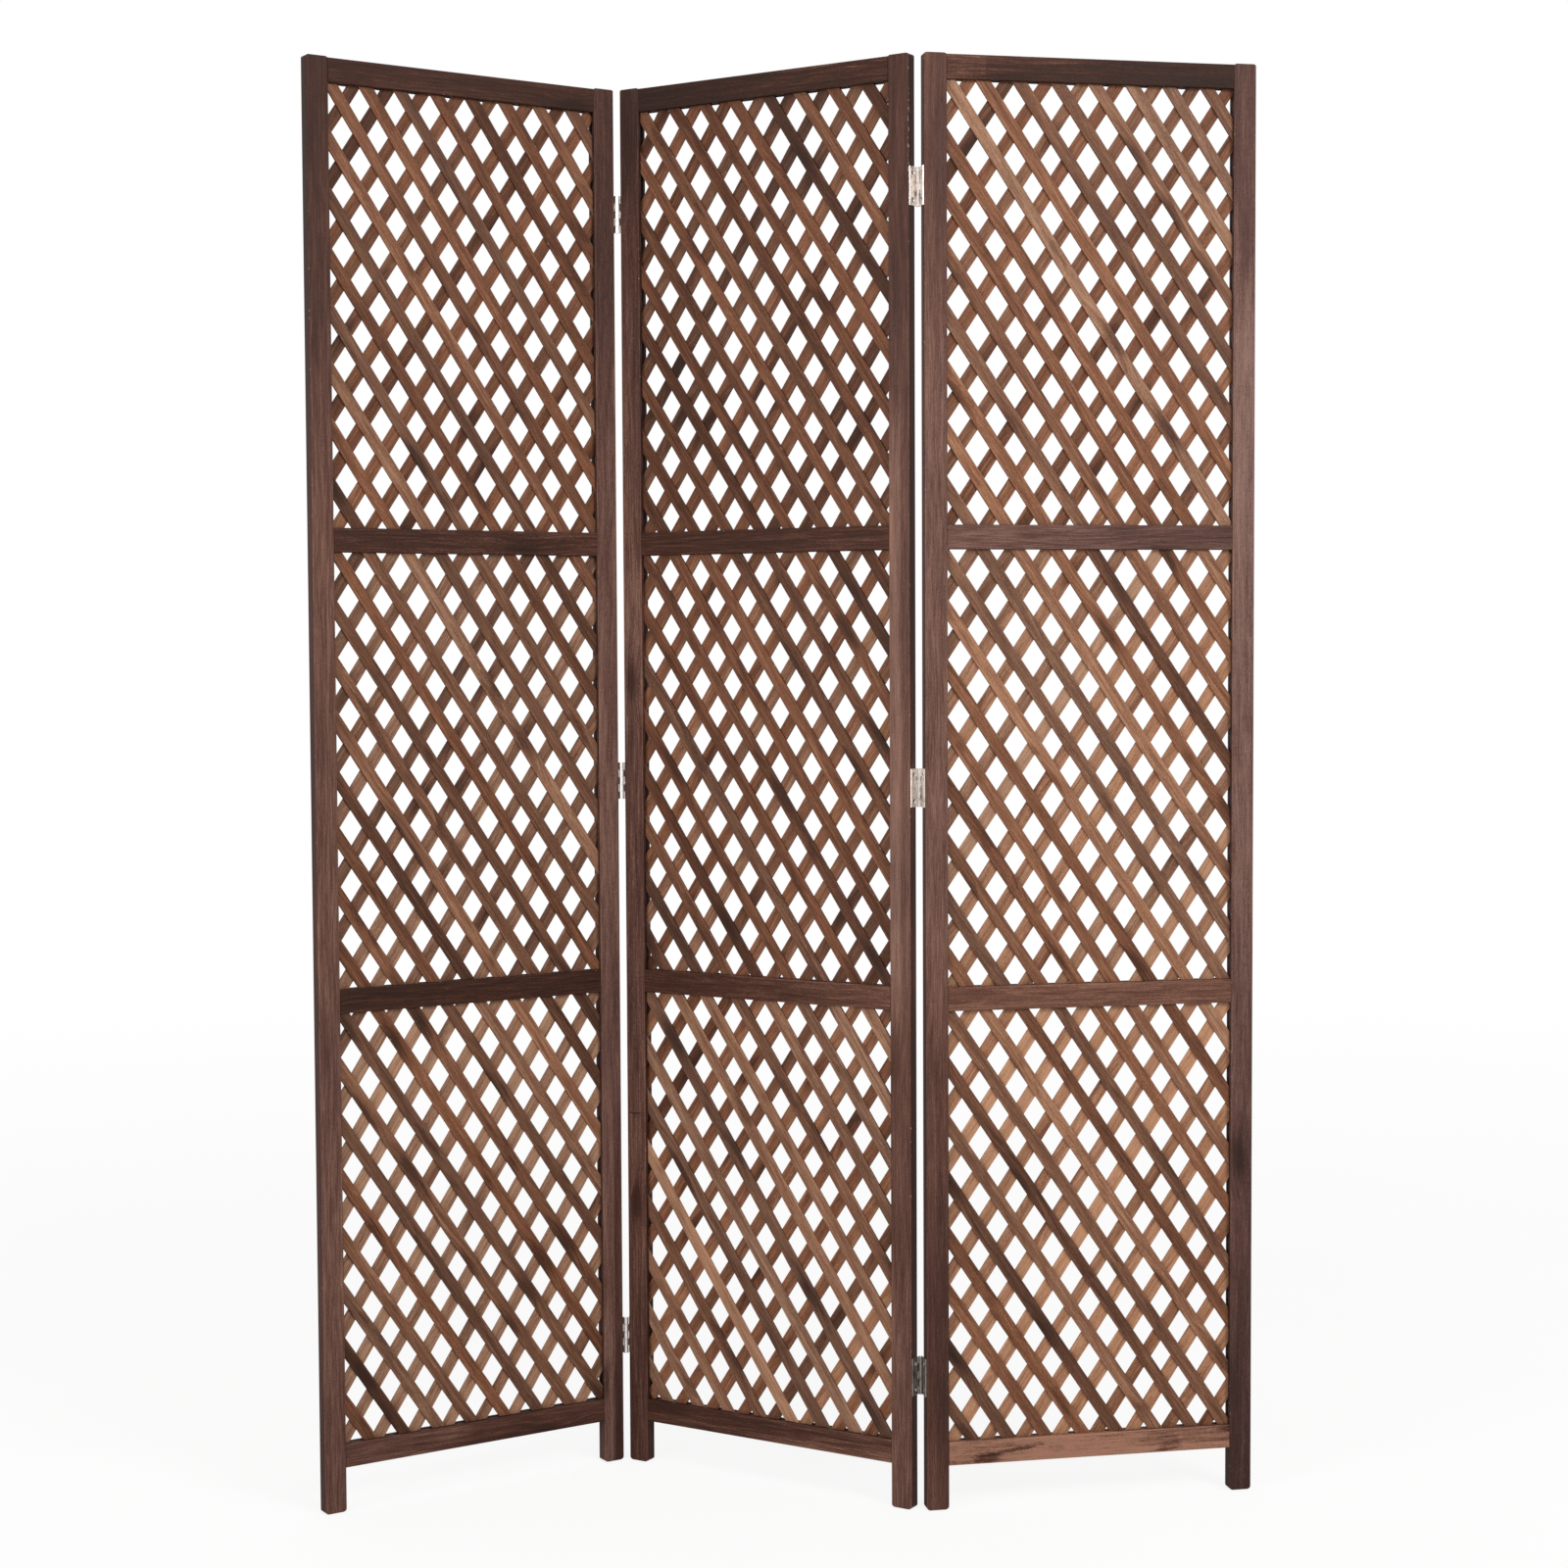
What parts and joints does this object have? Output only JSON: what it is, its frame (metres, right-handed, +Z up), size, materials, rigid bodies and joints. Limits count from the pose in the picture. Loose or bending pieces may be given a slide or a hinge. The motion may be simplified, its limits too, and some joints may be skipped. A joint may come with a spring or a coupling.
{
  "type": "folding screen",
  "caption": "Free-standing folding screen of tall hinged wooden frames, each filled with crossed diagonal slats, that stands in a zigzag and folds flat.",
  "frame": {"origin": "on the floor, under the centre of the standing screen's bounding box", "axes": "+X to the right as seen from the front, +Y away from the viewer, towards the rear, +Z up"},
  "size_m": [1.1105, 0.2314, 1.7],
  "materials": {
    "frame_wood": "matt dark brown stain, open grain",
    "front_slat_wood": "matt warm brown stain, varied from slat to slat",
    "rear_slat_wood": "matt warm brown stain, varied from slat to slat",
    "hinge_steel": "nickel-plated, satin",
    "fastener_steel": "nickel-plated, satin"
  },
  "bodies": {
    "middle_panel": {"middle_panel_left_stile": "frame_wood", "middle_panel_right_stile": "frame_wood", "middle_panel_top_rail": "frame_wood", "middle_panel_upper_rail": "frame_wood", "middle_panel_lower_rail": "frame_wood", "middle_panel_bottom_rail": "frame_wood", "middle_panel_top_front_slats": "front_slat_wood", "middle_panel_top_rear_slats": "rear_slat_wood", "middle_panel_middle_front_slats": "front_slat_wood", "middle_panel_middle_rear_slats": "rear_slat_wood", "middle_panel_bottom_front_slats": "front_slat_wood", "middle_panel_bottom_rear_slats": "rear_slat_wood", "left_hinge_top_inner_leaf": "hinge_steel", "left_hinge_top_pin": "fastener_steel", "left_hinge_middle_inner_leaf": "hinge_steel", "left_hinge_middle_pin": "fastener_steel", "left_hinge_bottom_inner_leaf": "hinge_steel", "left_hinge_bottom_pin": "fastener_steel", "right_hinge_top_inner_leaf": "hinge_steel", "right_hinge_top_pin": "fastener_steel", "right_hinge_middle_inner_leaf": "hinge_steel", "right_hinge_middle_pin": "fastener_steel", "right_hinge_bottom_inner_leaf": "hinge_steel", "right_hinge_bottom_pin": "fastener_steel", "middle_panel_left_hinge_screws": "fastener_steel", "middle_panel_right_hinge_screws": "fastener_steel"},
    "left_panel": {"left_panel_left_stile": "frame_wood", "left_panel_right_stile": "frame_wood", "left_panel_top_rail": "frame_wood", "left_panel_upper_rail": "frame_wood", "left_panel_lower_rail": "frame_wood", "left_panel_bottom_rail": "frame_wood", "left_panel_top_front_slats": "front_slat_wood", "left_panel_top_rear_slats": "rear_slat_wood", "left_panel_middle_front_slats": "front_slat_wood", "left_panel_middle_rear_slats": "rear_slat_wood", "left_panel_bottom_front_slats": "front_slat_wood", "left_panel_bottom_rear_slats": "rear_slat_wood", "left_hinge_top_outer_leaf": "hinge_steel", "left_hinge_middle_outer_leaf": "hinge_steel", "left_hinge_bottom_outer_leaf": "hinge_steel", "left_panel_hinge_screws": "fastener_steel"},
    "right_panel": {"right_panel_left_stile": "frame_wood", "right_panel_right_stile": "frame_wood", "right_panel_top_rail": "frame_wood", "right_panel_upper_rail": "frame_wood", "right_panel_lower_rail": "frame_wood", "right_panel_bottom_rail": "frame_wood", "right_panel_top_front_slats": "front_slat_wood", "right_panel_top_rear_slats": "rear_slat_wood", "right_panel_middle_front_slats": "front_slat_wood", "right_panel_middle_rear_slats": "rear_slat_wood", "right_panel_bottom_front_slats": "front_slat_wood", "right_panel_bottom_rear_slats": "rear_slat_wood", "right_hinge_top_outer_leaf": "hinge_steel", "right_hinge_middle_outer_leaf": "hinge_steel", "right_hinge_bottom_outer_leaf": "hinge_steel", "right_panel_hinge_screws": "fastener_steel"}
  },
  "joints": [
    {"name": "left_fold", "type": "hinge", "parent": "middle_panel", "child": "left_panel", "pos_m": [-0.20588, 0.10276, 0.85], "axis": [0, 0, 1], "range_deg": [-64, 116]},
    {"name": "right_fold", "type": "hinge", "parent": "middle_panel", "child": "right_panel", "pos_m": [0.15456, -0.09071, 0.85], "axis": [0, 0, 1], "range_deg": [-42.5, 137.5]}
  ]
}
